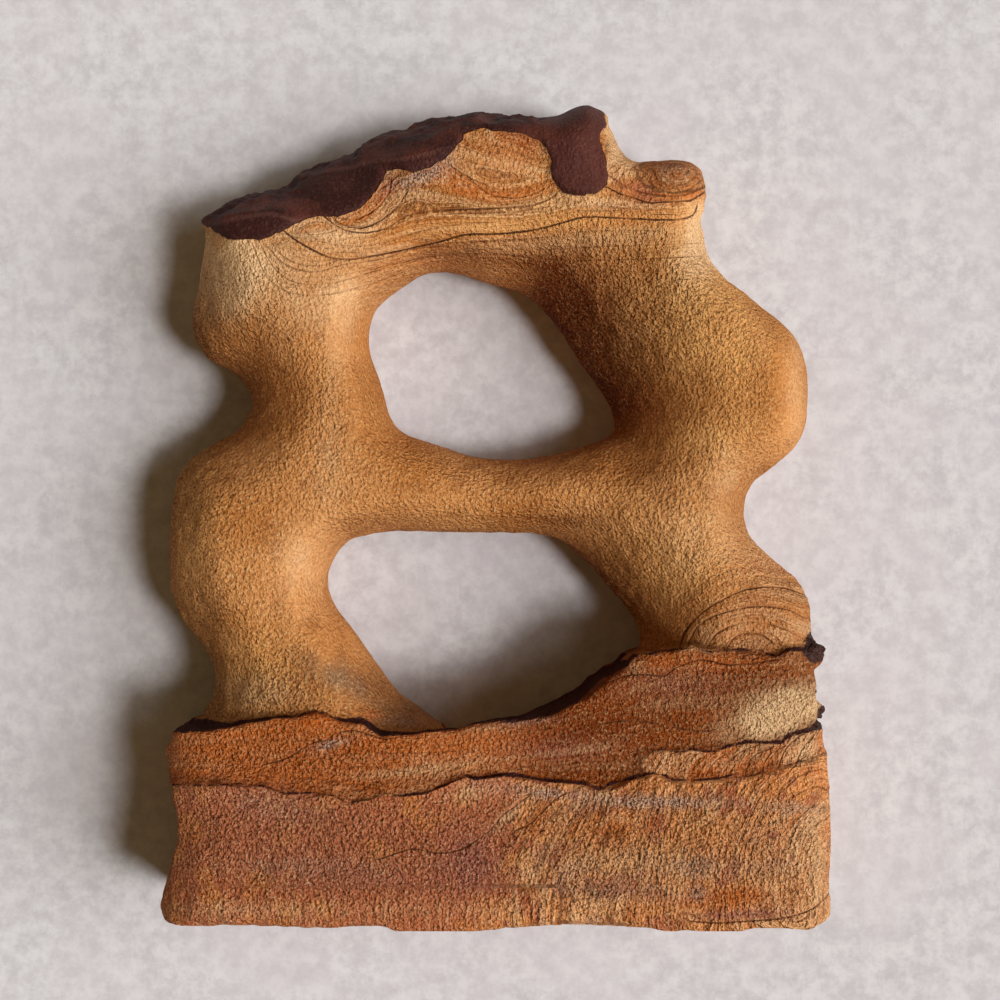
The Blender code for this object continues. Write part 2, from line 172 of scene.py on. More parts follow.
# How wide each ledge's dark face shows, at places across the picture
LEDGE_FACE = (
    (150, 14), (205, 13), (216, 9), (230, 4), (300, 2.0), (335, 2.2), (350, 5), (362, 7), (380, 7),
    (404, 2.4), (457, 2.4), (470, 4), (500, 7), (520, 13), (560, 18), (589, 20), (605, 14), (628, 7),
    (640, 1.6), (700, 1.6), (780, 2.2), (803, 5), (840, 6),
)
STEP_FACE = (
    (150, 0.5), (300, 0.9), (441, 1.4), (466, 3.2), (600, 3.4), (680, 2.2), (737, 2.0), (769, 1.4),
    (840, 1.0),
)
WEDGE_FACE = ((630, 0.4), (650, 1.2), (680, 2), (728, 2.6), (790, 4.5), (840, 3.5))

# The iron crust on the crown and its tongue, as one outline
CRUST = (
    (150, 60), (150, 214), (200, 223), (207, 225), (217, 233), (232, 239), (248, 241), (265, 238),
    (280, 233), (288, 228), (300, 220), (320, 216), (338, 217), (352, 213), (365, 204), (376, 192),
    (384, 178), (386, 170), (405, 171), (415, 172), (430, 167), (445, 158), (455, 149), (463, 140),
    (463, 133), (480, 130), (504, 130), (527, 135), (541, 143), (546, 149), (551, 164), (552, 177),
    (558, 188), (567, 193.5), (580, 195.4), (597, 192.6), (608, 185), (609.5, 177), (606, 167),
    (605, 153), (600, 142), (600, 136), (607, 124), (604, 112), (601, 106), (601, 60),
)
CRUST_RIDGES = (
    ((200, 226), (209, 224), (225, 221), (251, 216), (273, 214), (287, 218), (300, 222)),
    ((300, 176), (321, 171), (346, 168), (363, 164), (374, 161), (390, 160), (415, 157), (440, 150)),
    ((365, 146), (375, 158), (392, 173)),
)
TONGUE = ((545, 120), (556, 175), (580, 196), (612, 186), (606, 150), (610, 118), (604, 100), (560, 100))
CRUST_TIP, TIP_REACH = ((206, 225, 12, 7, 0, 1.0),), 1.6
KNOB = (677, 173, 26, 13)
KNOB_REACH, KNOB_LEFT = 1.5, 625
KNOB_BED, KNOB_BEDS = 40, 5

# Dark flakes on the right-hand edge: across, down, half width, half height, turn in degrees, strength
FLAKES = (
    (816, 647, 13, 14, 0, 1.4), (820, 634, 7, 5, 0, 1.2), (822, 692, 7, 5, 20, 1.2),
    (826, 714, 9, 8, 30, 1.3), (818, 726, 12, 5, -20, 1.0),
)

# Soft swells and hollows: across, down, half width, half height, turn in degrees, rise in millimetres
SWELLS = (
    (597, 132, 6, 34, -4, -1.0), (574, 140, 12, 40, 0, 0.5), (584, 187, 24, 5, 0, 0.6),
    (497, 166, 32, 17, 0, 0.8), (556, 196, 40, 4, 6, -0.3), (674, 173, 32, 14, 0, 0.9),
    (672, 209, 34, 7, 0, 0.7), (640, 186, 14, 12, 0, -0.8), (240, 232, 34, 8, 8, -0.6),
    (340, 214, 30, 12, -30, -0.5), (420, 168, 34, 9, -20, -0.4), (300, 252, 26, 6, 30, 0.4),
    (645, 667, 14, 10, 0, 0.9), (615, 685, 12, 6, -30, 0.5), (300, 728, 18, 9, 10, 0.8),
    (340, 757, 60, 9, -6, 0.5), (640, 735, 60, 12, -5, 0.6), (748, 760, 9, 8, 0, 0.5),
    (712, 766, 9, 8, 0, 0.4), (786, 755, 9, 8, -20, 0.5), (470, 850, 40, 16, -10, -0.4),
    (520, 815, 26, 8, -42, 0.5), (380, 800, 60, 20, 0, 0.4), (250, 850, 50, 26, 0, 0.4),
    (650, 850, 60, 24, -10, 0.4), (178, 850, 12, 60, 0, -0.8),
)

# Where the stone is most pitted, and its smoothest parts, in the same columns with a strength
ROUGH = (
    (232, 275, 40, 36, 0, 0.3), (205, 350, 26, 60, 0, 0.7), (190, 500, 26, 80, 0, 0.9),
    (200, 620, 24, 40, 0, 0.6), (250, 690, 50, 30, 0, 1.0), (620, 330, 60, 60, 40, 0.9),
    (690, 300, 50, 40, 0, 0.6), (620, 590, 40, 50, 30, 0.6), (300, 850, 150, 60, 0, 1.1),
    (640, 850, 190, 60, 0, 0.9), (300, 755, 160, 30, 0, 0.5), (740, 690, 90, 40, 0, 0.4),
)
SMOOTH = (
    (350, 320, 50, 50, 0, 0.6), (350, 240, 60, 14, 0, 0.5), (300, 560, 40, 60, 0, 0.4),
    (350, 660, 40, 40, 30, 0.5), (410, 430, 60, 20, 0, 0.3), (790, 400, 14, 60, 0, 0.5),
    (672, 190, 40, 20, 0, 0.3), (740, 620, 60, 30, 0, 0.35), (500, 165, 56, 34, 0, 0.35),
    (340, 250, 90, 34, 0, 0.35), (450, 222, 170, 20, -6, 0.35), (672, 190, 46, 26, 0, 0.2),
)

# Thin dark lines: how strong each one is, and its points
LINES = (
    (1.0, ((278, 226), (290, 236), (300, 243), (325, 256), (340, 259), (352, 259), (380, 255), (410, 249),
           (440, 242), (465, 235), (500, 234), (535, 230), (565, 222), (585, 217), (620, 218), (660, 220),
           (683, 219), (694, 214), (697, 206))),
    (0.8, ((326, 218), (333, 224), (342, 229), (356, 232.5), (372, 232), (389, 227), (406, 216),
           (432, 211), (480, 209), (520, 207), (540, 203), (552, 197), (560, 190))),
    (0.8, ((332, 218), (339, 223), (354, 228), (368, 226.5), (384, 218), (398, 206), (407, 192))),
    (0.7, ((339, 218), (351, 219.6), (365, 216), (379, 206), (389, 192), (391, 180))),
    (0.45, ((400, 222), (440, 214), (480, 213), (520, 211), (545, 207))),
    (0.6, ((463, 172), (470, 180), (482, 190), (495, 196), (515, 198), (535, 193), (552, 184))),
    (0.9, ((608, 188), (620, 194), (631, 197), (649, 203), (662, 202), (687, 201), (694, 199),
           (706, 191))),
    (0.6, ((612, 178), (625, 186), (640, 192), (660, 196), (685, 195), (703, 188))),
    (0.45, ((268, 239), (282, 256), (302, 265), (321, 265), (334, 261))),
    (0.5, ((266, 245), (282, 263), (304, 271), (321, 271), (339, 265), (361, 262), (384, 259), (411, 250),
           (440, 247))),
    (0.3, ((273, 266), (286, 274), (304, 277), (330, 276), (360, 272), (390, 266))),
    (0.25, ((262, 272), (275, 280), (303, 286), (330, 286), (350, 283))),
    (0.3, ((470, 243), (500, 241), (540, 238), (580, 232), (620, 230), (660, 231))),
    (0.45, ((257, 238), (273, 267), (296, 283), (331, 283), (367, 274), (402, 263), (437, 256),
            (494, 254), (543, 260), (614, 260), (699, 256))),
    (0.4, ((253, 246), (266, 276), (290, 293), (330, 294), (372, 284), (402, 273))),
    (0.35, ((392, 268), (430, 258), (480, 250), (540, 250), (614, 246), (699, 243))),
    (0.35, ((300, 228), (318, 240), (345, 246), (380, 243), (420, 232), (460, 224), (520, 221))),
    (0.35, ((500, 140), (515, 143), (530, 150), (546, 160))),
    (0.35, ((480, 142), (505, 148), (530, 158), (549, 168))),
    (0.8, ((680, 647), (685, 632), (697, 617), (712, 606), (728, 597), (745, 590), (765, 587), (785, 588),
           (806, 595))),
    (0.65, ((688, 644), (697, 627), (710, 618), (730, 611), (750, 607), (770, 607), (788, 610),
            (806, 618))),
    (0.5, ((708, 646), (716, 634), (733, 625), (752, 622), (772, 625), (790, 632), (806, 640))),
    (0.6, ((728, 646), (735, 637), (748, 633), (762, 635), (772, 643))),
    (0.9, ((600, 685), (615, 680), (625, 676), (645, 675), (665, 676), (672, 670), (690, 662), (705, 660),
           (728, 665), (760, 662), (778, 659))),
    (0.7, ((600, 724), (623, 720.4), (653, 722.7), (688, 729.6), (711, 731))),
    (0.8, ((262, 765), (285, 759), (300, 750), (315, 742), (325, 741), (332, 735), (345, 731), (362, 732),
           (385, 739), (402, 736))),
    (0.5, ((279, 724), (295, 729), (310, 735), (323, 742))),
    (0.3, ((270, 733), (290, 735), (310, 741))),
    (0.45, ((310, 762), (325, 757), (343, 754), (376, 753), (420, 753), (465, 750))),
    (0.4, ((323, 773), (343, 768.6), (365, 766), (387, 768.6), (416, 773))),
    (0.9, ((380, 859), (395, 854), (412, 849), (436, 853), (456, 851), (476, 841), (490, 830), (504, 814),
           (517, 805), (528, 796))),
    (0.8, ((492, 837), (508, 837), (516, 830), (530, 824), (546, 808), (556, 799), (566, 793))),
    (0.5, ((515, 866), (524, 851), (538, 834), (556, 810), (566, 800))),
    (0.35, ((545, 872), (553, 852), (566, 830), (583, 806))),
    (0.35, ((590, 880), (597, 855), (606, 832), (620, 806))),
    (0.3, ((641, 866), (646, 845), (655, 820), (668, 800))),
    (0.3, ((690, 872), (695, 850), (703, 825), (715, 805))),
    (0.4, ((774, 822), (765, 833.5), (760.4, 857), (760.4, 880), (762, 893))),
    (0.35, ((824, 813), (803, 827), (792, 847), (790, 866), (790, 880))),
    (0.55, ((829, 791), (815, 787), (798, 794), (782, 803))),
    (0.4, ((727, 798), (742, 786), (760, 779))),
    (0.4, ((700, 798), (716, 787), (728, 782))),
    (0.6, ((706, 775), (710, 767), (718, 759), (738, 746))),
    (0.75, ((726, 777), (727, 764), (738, 753), (757, 745))),
    (0.6, ((745, 774), (752, 757), (771, 748))),
    (0.5, ((762, 770), (768, 756), (784, 746))),
    (0.65, ((778, 768), (785, 750), (798, 737), (812, 729))),
    (0.6, ((796, 763), (803, 748), (815, 734))),
    (0.5, ((655, 770), (664, 756), (678, 752))),
    (0.5, ((678, 775), (688, 758), (701, 753))),
    (0.8, ((788, 917), (800, 914), (815, 907), (826, 897), (831, 890))),
    (0.8, ((690, 921), (715, 923), (735, 922), (765, 920), (790, 917))),
    (0.5, ((645, 178), (655, 188), (670, 193), (688, 190), (700, 181))),
    (0.45, ((652, 170), (658, 181), (670, 186), (684, 184), (695, 176), (695, 166))),
    (0.4, ((666, 170), (672, 164), (684, 165), (688, 171), (678, 177), (666, 174))),
    (0.5, ((802, 700), (812, 694), (822, 690))),
    (0.4, ((800, 714), (806, 704), (816, 697))),
)

# Bedding: the level of each guide line, in laminae, and its points. Places in between take a level
# from the nearest lines.
CROWN_BEDS = (
    (-8, ((500, 134), (525, 141), (547, 152))),
    (-5, ((466, 136), (500, 147), (530, 158), (549, 168))),
    (-2, ((455, 160), (474, 178), (500, 187), (530, 183), (550, 174))),
    (0, ((207, 236), (240, 250), (275, 243), (310, 228), (345, 224), (370, 214), (384, 195), (400, 183),
         (430, 180), (470, 188), (500, 198), (535, 193), (555, 184))),
    (3, ((326, 218), (342, 229), (372, 232), (406, 216), (432, 211), (480, 209), (520, 207), (552, 197),
         (580, 200), (640, 206), (700, 204))),
    (6, ((230, 246), (278, 226), (300, 243), (352, 259), (410, 249), (465, 235), (535, 230), (585, 217),
         (660, 220), (700, 222))),
    (8, ((215, 262), (266, 245), (304, 271), (340, 268), (411, 250), (470, 246), (540, 243), (620, 236),
         (705, 240))),
    (11, ((205, 300), (262, 285), (330, 296), (380, 275), (440, 265), (500, 262), (560, 268), (640, 262),
          (715, 270))),
    (15, ((195, 340), (260, 330), (320, 330), (370, 300), (560, 300), (640, 300), (740, 300))),
)
PILLAR_BEDS = (
    (0, ((735, 648), (748, 642), (762, 646))),
    (3, ((708, 648), (716, 634), (733, 625), (752, 622), (772, 625), (800, 636))),
    (6, ((688, 644), (697, 627), (710, 618), (730, 611), (750, 607), (770, 607), (806, 618))),
    (9, ((680, 645), (685, 632), (697, 617), (712, 606), (745, 590), (765, 587), (806, 595))),
    (13, ((655, 640), (665, 620), (685, 595), (715, 572), (750, 562), (800, 566))),
    (18, ((625, 600), (650, 575), (690, 545), (740, 530))),
)
FOOT_BEDS = (
    (0, ((180, 905), (200, 860), (225, 800))),
    (10, ((330, 905), (360, 850), (400, 800))),
    (18, ((460, 915), (490, 850), (530, 796))),
    (24, ((515, 900), (530, 850), (570, 796))),
    (31, ((585, 905), (597, 855), (625, 800))),
    (40, ((690, 905), (695, 850), (715, 805))),
    (47, ((762, 910), (760, 857), (774, 822), (800, 800))),
    (50, ((795, 910), (790, 866), (803, 827), (826, 808))),
)
BAND_BEDS = (
    (0, ((176, 735), (297, 722), (404, 740), (508, 727), (575, 706), (645, 658), (712, 656), (803, 654))),
    (5, ((172, 757), (270, 752), (343, 754), (420, 753), (465, 749), (560, 735), (623, 720), (711, 731),
         (820, 700))),
    (9, ((176, 776), (300, 780), (355, 788), (440, 776), (540, 768), (620, 765), (680, 745), (820, 720))),
)
WEDGE_BEDS = (
    (0, ((640, 775), (655, 756))),
    (4, ((678, 776), (688, 758), (701, 752))),
    (8, ((706, 776), (712, 764), (738, 746))),
    (13, ((745, 774), (752, 757), (775, 746))),
    (18, ((778, 768), (785, 750), (812, 729))),
    (22, ((812, 762), (822, 735))),
)

# Soft patches of colour: across, down, half width, half height, turn in degrees, strength
# Pale bare stone, and painted light on edges that face the lamps: the right-hand rim and the right side of
# the left pillar
PALE_AND_PAINTED_LIGHT = (
    (228, 268, 38, 34, 0, 1.6), (325, 290, 40, 30, -20, 0.6), (345, 242, 40, 9, 15, 0.5),
    (540, 245, 120, 8, -6, 0.35), (706, 240, 22, 36, 20, 1.6), (612, 120, 7, 22, 0, 0.9),
    (620, 150, 8, 18, 0, 0.5), (782, 712, 44, 20, -18, 1.5), (770, 560, 26, 22, 30, 0.4),
    (300, 560, 22, 40, 0, 0.35), (255, 690, 30, 16, 0, 0.4), (796, 385, 9, 50, 0, 0.4),
    (440, 768, 34, 10, -8, 0.35), (340, 330, 14, 70, 10, 0.3), (235, 910, 60, 7, 0, 0.3),
    (815, 850, 9, 40, 0, 0.5), (505, 818, 20, 5, -42, 0.8), (590, 800, 24, 4, -20, 0.5),
    (620, 860, 70, 16, 0, 0.35), (580, 202, 22, 6, 0, 0.5), (728, 470, 20, 24, 0, 0.4),
    (806, 752, 16, 9, -20, 0.7), (475, 792, 22, 8, -15, 0.5), (780, 636, 30, 10, 0, 0.4),
    (500, 166, 26, 12, 0, 0.3), (635, 665, 10, 6, 0, 0.5), (790, 660, 20, 6, 0, 0.2),
    (420, 910, 110, 5, 0, 0.2), (700, 540, 40, 30, 0, 0.4), (330, 470, 14, 50, 0, 0.2),
)
# Painted light: a lighter colour on slopes that face away from the lamps, so that they look lit
PAINTED_LIGHT = (
    (700, 345, 60, 60, 30, 0.8), (665, 575, 54, 40, 35, 1.0), (190, 520, 24, 80, 0, 0.9),
    (240, 670, 36, 36, 0, 0.9), (706, 290, 40, 24, 0, 0.6), (228, 268, 38, 34, 0, 0.6),
    (700, 440, 60, 24, 0, 0.6), (560, 222, 120, 10, -4, 0.6), (700, 235, 26, 34, 0, 0.9),
    (560, 196, 60, 16, 0, 0.4),
)
ORANGE = (
    (360, 205, 24, 12, -35, 0.8), (470, 185, 30, 9, 16, 0.6), (530, 190, 26, 6, -12, 0.8),
    (230, 736, 60, 6, -6, 0.9), (306, 722, 26, 7, 0, 1.0), (440, 738, 70, 6, -4, 0.9),
    (372, 715, 14, 5, 10, 0.8), (700, 662, 80, 8, 0, 0.7), (515, 140, 30, 9, 12, 0.7),
    (505, 162, 34, 20, 0, 0.35), (745, 620, 60, 30, 0, 0.4), (720, 898, 42, 8, -6, 0.8),
    (600, 835, 50, 20, 0, 0.3), (210, 395, 20, 40, 0, 0.4), (640, 188, 30, 12, 10, 0.7),
    (690, 195, 24, 6, -10, 0.7), (700, 775, 100, 4, -3, 0.4), (570, 330, 30, 60, 34, 0.5),
    (620, 410, 40, 24, 0, 0.6), (620, 600, 24, 50, 30, 0.3), (745, 900, 40, 12, 0, 0.4),
    (400, 790, 30, 6, 0, 0.3), (440, 262, 80, 5, -6, 0.35),
)
RUST = (
    (527, 125, 26, 9, 6, 1.0), (470, 860, 36, 34, 0, 0.9), (380, 880, 80, 14, 0, 0.5),
    (680, 684, 60, 12, 0, 0.3), (672, 170, 26, 10, 0, 0.5), (388, 188, 8, 18, 30, 0.5),
    (250, 810, 70, 30, 0, 0.2), (640, 190, 20, 9, 20, 0.6), (300, 840, 90, 30, 0, 0.25),
    (560, 745, 50, 14, -4, 0.35), (740, 915, 60, 5, -2, 0.7),
)
# Dull grey-brown patches on the left pillar's foot; along the shelf of the lower window they are painted
# shade
DULL_BROWN = ((352, 684, 46, 15, 30, 0.9), (440, 712, 40, 5, 8, 0.6), (300, 700, 40, 8, 10, 0.3))
GREY = (
    (425, 176, 30, 7, -20, 1.0), (445, 158, 12, 9, -40, 0.8), (330, 744, 20, 4, -14, 0.9),
    (698, 895, 9, 7, 0, 0.6), (550, 793, 70, 6, 6, 0.8), (640, 801, 40, 6, 0, 0.8),
    (690, 803, 60, 5, 0, 0.7), (790, 808, 26, 5, 2, 0.8), (720, 868, 70, 10, 0, 0.45),
    (520, 722, 34, 3, -6, 0.5), (790, 740, 12, 5, 0, 0.3), (400, 722, 30, 6, 0, 0.4),
    (610, 890, 60, 10, 0, 0.5), (570, 870, 20, 14, 0, 0.4), (620, 205, 30, 5, 0, 0.3),
    (765, 835, 40, 16, 0, 0.25), (270, 805, 60, 14, 10, 0.3), (300, 866, 80, 12, 0, 0.3),
)
# Mostly painted shade: a darker colour in the window funnels, under the lintel, along the left-hand edges
# and on the shelf of the lower window. At the knob and the arcs it is also the stone's own darker brown.
DARK_AND_PAINTED_SHADE = (
    (172, 820, 9, 90, 0, 0.3), (585, 340, 26, 74, -28, 0.9), (612, 405, 34, 30, 0, 0.8),
    (264, 372, 20, 30, 20, 0.35), (598, 600, 22, 50, -30, 0.9), (585, 735, 46, 12, -6, 0.5),
    (510, 716, 40, 10, -12, 0.6), (440, 712, 34, 6, 0, 0.4), (490, 258, 60, 8, 6, 0.6),
    (372, 684, 34, 16, 34, 0.5), (560, 722, 60, 14, -4, 0.45), (198, 340, 7, 40, 0, 0.3),
    (640, 350, 26, 60, -30, 0.3), (540, 700, 50, 8, -12, 0.7), (742, 618, 60, 34, 0, 0.3),
    (172, 520, 5, 60, 0, 0.3), (250, 400, 14, 30, 0, 0.2), (560, 290, 34, 30, 0, 0.8),
    (672, 176, 30, 12, 0, 0.6), (640, 470, 50, 8, -10, 0.2), (560, 520, 50, 6, 0, 0.4),
    (215, 660, 8, 40, 0, 0.3),
)

# The patches by colour, and how much of it each kind lays over the ones before. Grey shows as specks.
# The bright kind lays painted light, the dark kind mostly painted shade and the pale kind partly painted
# light
PATCHES = {
    "painted_light": PAINTED_LIGHT, "dull_brown": DULL_BROWN, "pale": PALE_AND_PAINTED_LIGHT, "orange": ORANGE, "rust": RUST, "dark": DARK_AND_PAINTED_SHADE,
    "grey": GREY,
}
PATCH_SHARES = {"painted_light": 0.8, "dull_brown": 0.9, "pale": 0.8, "orange": 0.75, "rust": 0.85, "dark": 0.9}

# Colours, as red, green and blue from 0 to 255
# Of these, (255, 186, 110) is painted light and (118, 52, 10) mostly painted shade;
# the crust's light and dark colours are partly its painted highlight and painted shade
COLOURS = {
    "tan": (213, 145, 84), "amber": (193, 123, 61), "brown": (161, 94, 40), "pale": (255, 210, 158),
    "painted_light": (255, 186, 110), "dull_brown": (150, 114, 82), "cream": (254, 220, 160), "orange": (198, 98, 30),
    "rust": (168, 98, 84), "grey": (190, 166, 152), "dark": (118, 52, 10), "line": (126, 70, 34),
    "deep line": (66, 34, 22), "crust": (88, 45, 36), "crust light": (112, 74, 64),
    "crust dark": (58, 28, 24), "foot": (206, 117, 60), "foot left": (204, 118, 76),
    "foot right": (246, 162, 96), "band": (198, 104, 41), "band right": (142, 66, 16), "iron": (72, 36, 31),
    "flake": (84, 66, 58), "white grain": (246, 222, 186), "black grain": (50, 28, 16),
    "purple grain": (78, 52, 54),
}

# Colours as shares of light: the painted shade that darkens the hollows of the grain, and the floor
PAINTED_HOLLOW_SHADE = (0.50, 0.38, 0.26, 1.0)
FLOOR_DARK, FLOOR_LIGHT = (0.52, 0.492, 0.508, 1), (0.675, 0.655, 0.665, 1)
FLOOR_BLOTCH = (0.62, 0.575, 0.60, 1)
FLOOR_SIZE, FLOOR_DROP = 6.0, 0.0002


def linear(name):
    """A named colour as the shader wants it."""
    shares = [value / 255 for value in COLOURS[name]]
    return (*[s / 12.92 if s <= 0.04045 else ((s + 0.055) / 1.055) ** 2.4 for s in shares], 1.0)


def step_up(value, low, high):
    """0 below low and 1 above high, with a smooth rise between."""
    t = np.clip((value - low) / (high - low), 0, 1)
    return t * t * (3 - 2 * t)


def seen_at(points):
    """Where points, in millimetres, show in the picture, as columns of pixels across and down."""
    scale = PIXEL * (CAMERA_HEIGHT - points[:, 2]) / (CAMERA_HEIGHT - MIDDLE_HEIGHT)
    across = PICTURE / 2 + (points[:, 0] - CAMERA_X) / scale
    down = PICTURE / 2 - (points[:, 1] - CAMERA_Y) / scale
    return np.column_stack((across, down))


def lumps(points, size, seed):
    """Smooth noise at each point, from about -1 to 1, with lumps of a size or of a size along each axis."""
    places = points / size + seed * 7.31
    return np.array([noise.noise(place) for place in places.tolist()]) * 1.6


def curve(points, parts=3):
    """A smooth line through given points, as closer points."""
    rows = np.array(points, float)
    rows = np.vstack((2 * rows[0] - rows[1], rows, 2 * rows[-1] - rows[-2]))
    found = []
    for a, b, c, d in zip(rows, rows[1:], rows[2:], rows[3:]):
        for t in np.arange(parts) / parts:
            found.append(0.5 * (2 * b + (c - a) * t + (2 * a - 5 * b + 4 * c - d) * t**2
                                + (3 * b - a - 3 * c + d) * t**3))
    return np.array([*found, rows[-2]])


def line_gap(seen, line):
    """How far each seen place is from a line, negative on one side of it, in pixels."""
    nearest = np.full(len(seen), np.inf)
    side = np.ones(len(seen))
    for start, run in zip(line[:-1], np.diff(line, axis=0)):
        away = seen - start
        t = np.clip((away @ run) / (run @ run), 0, 1)
        gap = np.hypot(*(away - t[:, None] * run).T)
        closer = gap < nearest
        nearest[closer] = gap[closer]
        side[closer] = np.sign(run[0] * away[closer, 1] - run[1] * away[closer, 0] + 1e-12)
    return nearest * side


def near(seen, line, margin):
    """Which seen places are inside a line's own box, widened by a margin."""
    return ((seen > line.min(0) - margin) & (seen < line.max(0) + margin)).all(1)


def inside_gap(seen, outline):
    """How far each seen place is from a closed outline, positive inside it."""
    outline = np.array(outline, float)
    gap = np.abs(line_gap(seen, np.vstack((outline, outline[:1]))))
    inside = np.zeros(len(seen), bool)
    for a, b in zip(outline, np.roll(outline, -1, axis=0)):
        spans = (a[1] > seen[:, 1]) != (b[1] > seen[:, 1])
        if a[1] != b[1]:
            inside ^= spans & (seen[:, 0] < a[0] + (seen[:, 1] - a[1]) * (b[0] - a[0]) / (b[1] - a[1]))
    return np.where(inside, gap, -gap)


def below(seen, edge):
    """How far each seen place is below an edge that runs from left to right."""
    across, down = np.array(edge, float).T
    return seen[:, 1] - np.interp(seen[:, 0], across, down)


def across_value(seen, rows):
    """A value that changes only across the picture."""
    return np.interp(seen[:, 0], *np.array(rows, float).T)


def patches(seen, rows):
    """The sum of soft round patches at each seen place."""
    total = np.zeros(len(seen))
    for x, y, half_width, half_height, turn, strength in rows:
        c, s = math.cos(math.radians(turn)), math.sin(math.radians(turn))
        along = ((seen[:, 0] - x) * c + (seen[:, 1] - y) * s) / half_width
        aside = ((seen[:, 1] - y) * c - (seen[:, 0] - x) * s) / half_height
        total += strength * np.exp(-(along**2 + aside**2) * 0.9)
    return total


def bed_level(seen, beds, where):
    """The level among the laminae, between guide lines weighted by nearness, and 0 outside where."""
    total, weights = np.zeros(len(seen)), np.full(len(seen), 1e-9)
    here = np.flatnonzero(where)
    for level, points in beds:
        weight = 1 / (np.abs(line_gap(seen[here], curve(points))) + 0.5) ** 1.6
        total[here] += level * weight
        weights[here] += weight
    return total / weights


def ring_level(seen, ring):
    """How many half sizes each seen place is from the middle of an oval."""
    x, y, half_width, half_height = ring
    return np.hypot((seen[:, 0] - x) / half_width, (seen[:, 1] - y) / half_height)


def line_sets():
    """The thin lines in sets, so that lines of one set are well apart."""
    sets = [[] for _ in range(SET_COUNT)]
    for strength, points in LINES:
        line = curve(points)
        room = [min([np.abs(line_gap(line, other)).min() for _, other in lines] + [1e3]) for lines in sets]
        chosen = next((i for i, gap in enumerate(room) if gap > SET_GAP), int(np.argmax(room)))
        sets[chosen].append((strength, line))
    return sets


def set_fields(seen, lines):
    """The distance from the nearest line of a set, and how strong that line is there."""
    gap, strength = np.full(len(seen), LINE_REACH), np.zeros(len(seen))
    for power, line in lines:
        here = np.flatnonzero(near(seen, line, LINE_REACH + 4))
        found = line_gap(seen[here], line)
        closer = np.abs(found) < np.abs(gap[here])
        gap[here[closer]] = found[closer]
        strength[here[closer]] = power * step_up(-np.abs(found[closer]), -LINE_REACH, -LINE_REACH / 2)
    return gap, strength


def bed_weight(fields, base):
    """How strongly the laminae show at each place, from 0 to 1. The base is 1 on the foot block."""
    across, down = fields["seen"].T
    shoulder = (1 - SHOULDER) * step_up(across, *SHOULDER_ACROSS) * step_up(down, *SHOULDER_DOWN)
    crown = (1 - step_up(down, *CROWN_FADE)) * (1 - (1 - LOW_CROWN) * step_up(down, *CROWN_TOP))
    crown = crown * step_up(across, *CROWN_LEFT) * (1 - shoulder)
    arcs = ARCS * step_up(across, *ARCS_ACROSS) * step_up(down, *ARCS_DOWN)
    foot = FOOT_LEFT + FOOT_RIGHT * fields["right"] + FOOT_LOW * step_up(down, *FOOT_RIM)
    block = BAND * (fields["step"] <= 0) + foot * step_up(fields["step"], 0, 4)
    wedge = step_up(fields["wedge"], -1, 2)
    return np.clip((1 - base) * (crown + arcs) + base * block + wedge, FEWEST_LAMINAE, 1)


